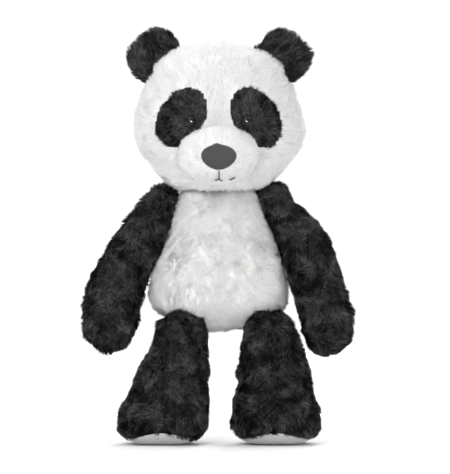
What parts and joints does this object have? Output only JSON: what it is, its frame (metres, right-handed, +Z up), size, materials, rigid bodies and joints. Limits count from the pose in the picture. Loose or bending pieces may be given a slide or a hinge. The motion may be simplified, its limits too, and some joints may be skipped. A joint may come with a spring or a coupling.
{
  "type": "plush panda",
  "caption": "Standing stuffed toy panda with a round head, padded ears, long arms, bell-shaped legs and grey soles; neck, arms, legs, ears and tail bend.",
  "frame": {"origin": "on the floor, midway between the feet, under the middle of the toy's box", "axes": "+Z up; the face looks along -Y; +X is the toy's own left"},
  "size_m": [0.232, 0.147, 0.3561],
  "materials": {
    "white_plush": "matte",
    "black_plush": "matte",
    "suede": "matte",
    "nose_cloth": "matte",
    "thread": "satin",
    "fibrefill": "matte",
    "pellet_bag": "matte",
    "label_satin": "satin",
    "eye_plastic": "gloss",
    "washer_plastic": "matte"
  },
  "bodies": {
    "torso": {"belly_panel": "white_plush", "back_yoke": "black_plush", "back_panel": "white_plush", "torso_stuffing": "fibrefill", "seat_pellet_bag": "pellet_bag", "care_label": "label_satin"},
    "neck": {"neck_wad": "fibrefill"},
    "head": {"head_face_panel": "white_plush", "head_back_panel": "white_plush", "head_stuffing": "fibrefill", "muzzle_panel": "white_plush", "muzzle_stuffing": "fibrefill", "nose": "nose_cloth", "mouth_stitching": "thread", "left_eye_patch": "black_plush", "right_eye_patch": "black_plush", "left_eye": "eye_plastic", "right_eye": "eye_plastic", "left_eye_washer": "washer_plastic", "right_eye_washer": "washer_plastic"},
    "tail": {"tail_cover": "white_plush", "tail_stuffing": "fibrefill"},
    "left_ear": {"left_ear_front": "black_plush", "left_ear_back": "black_plush", "left_ear_filling": "fibrefill"},
    "left_shoulder": {"left_shoulder_wad": "fibrefill"},
    "left_arm": {"left_arm_front": "black_plush", "left_arm_back": "black_plush", "left_arm_stuffing": "fibrefill", "left_paw_pellet_bag": "pellet_bag"},
    "left_hip": {"left_hip_wad": "fibrefill"},
    "left_leg": {"left_leg_outer_panel": "black_plush", "left_leg_inner_panel": "black_plush", "left_leg_stuffing": "fibrefill", "left_foot_pellet_bag": "pellet_bag", "left_sole": "suede"},
    "right_ear": {"right_ear_front": "black_plush", "right_ear_back": "black_plush", "right_ear_filling": "fibrefill"},
    "right_shoulder": {"right_shoulder_wad": "fibrefill"},
    "right_arm": {"right_arm_front": "black_plush", "right_arm_back": "black_plush", "right_arm_stuffing": "fibrefill", "right_paw_pellet_bag": "pellet_bag"},
    "right_hip": {"right_hip_wad": "fibrefill"},
    "right_leg": {"right_leg_outer_panel": "black_plush", "right_leg_inner_panel": "black_plush", "right_leg_stuffing": "fibrefill", "right_foot_pellet_bag": "pellet_bag", "right_sole": "suede"}
  },
  "joints": [
    {"name": "neck_turn", "type": "hinge", "parent": "torso", "child": "neck", "pos_m": [0, 0, 0.218], "axis": [0, 0, 1], "range_deg": [-50, 50]},
    {"name": "head_nod", "type": "hinge", "parent": "neck", "child": "head", "pos_m": [0, 0, 0.218], "axis": [1, 0, 0], "range_deg": [-15, 20]},
    {"name": "left_ear_flex", "type": "hinge", "parent": "head", "child": "left_ear", "pos_m": [0.04671, -0.002, 0.32213], "axis": [0.7648, 0, -0.6442], "range_deg": [-20, 20], "stiffness_Nm_per_rad": 0.02},
    {"name": "left_arm_swing", "type": "hinge", "parent": "torso", "child": "left_shoulder", "pos_m": [0.0435, 0, 0.19], "axis": [-0.9397, 0, -0.342], "range_deg": [-40, 90]},
    {"name": "left_arm_raise", "type": "hinge", "parent": "left_shoulder", "child": "left_arm", "pos_m": [0.05, 0, 0.209], "axis": [0, -1, 0], "range_deg": [0, 70]},
    {"name": "left_leg_swing", "type": "hinge", "parent": "torso", "child": "left_hip", "pos_m": [0.042, -0.013, 0.094], "axis": [-1, 0, 0], "range_deg": [-20, 80]},
    {"name": "left_leg_splay", "type": "hinge", "parent": "left_hip", "child": "left_leg", "pos_m": [0.042, -0.013, 0.094], "axis": [0, -1, 0], "range_deg": [-5, 15]},
    {"name": "right_ear_flex", "type": "hinge", "parent": "head", "child": "right_ear", "pos_m": [-0.04671, -0.002, 0.32213], "axis": [0.7648, 0, 0.6442], "range_deg": [-20, 20], "stiffness_Nm_per_rad": 0.02},
    {"name": "right_arm_swing", "type": "hinge", "parent": "torso", "child": "right_shoulder", "pos_m": [-0.0435, 0, 0.19], "axis": [-0.9397, 0, 0.342], "range_deg": [-40, 90]},
    {"name": "right_arm_raise", "type": "hinge", "parent": "right_shoulder", "child": "right_arm", "pos_m": [-0.05, 0, 0.209], "axis": [0, 1, 0], "range_deg": [0, 70]},
    {"name": "right_leg_swing", "type": "hinge", "parent": "torso", "child": "right_hip", "pos_m": [-0.042, -0.013, 0.094], "axis": [-1, 0, 0], "range_deg": [-20, 80]},
    {"name": "right_leg_splay", "type": "hinge", "parent": "right_hip", "child": "right_leg", "pos_m": [-0.042, -0.013, 0.094], "axis": [0, 1, 0], "range_deg": [-5, 15]},
    {"name": "tail_flex", "type": "hinge", "parent": "torso", "child": "tail", "pos_m": [0, 0.0465, 0.121], "axis": [1, 0, 0], "range_deg": [-15, 15], "stiffness_Nm_per_rad": 0.02}
  ]
}
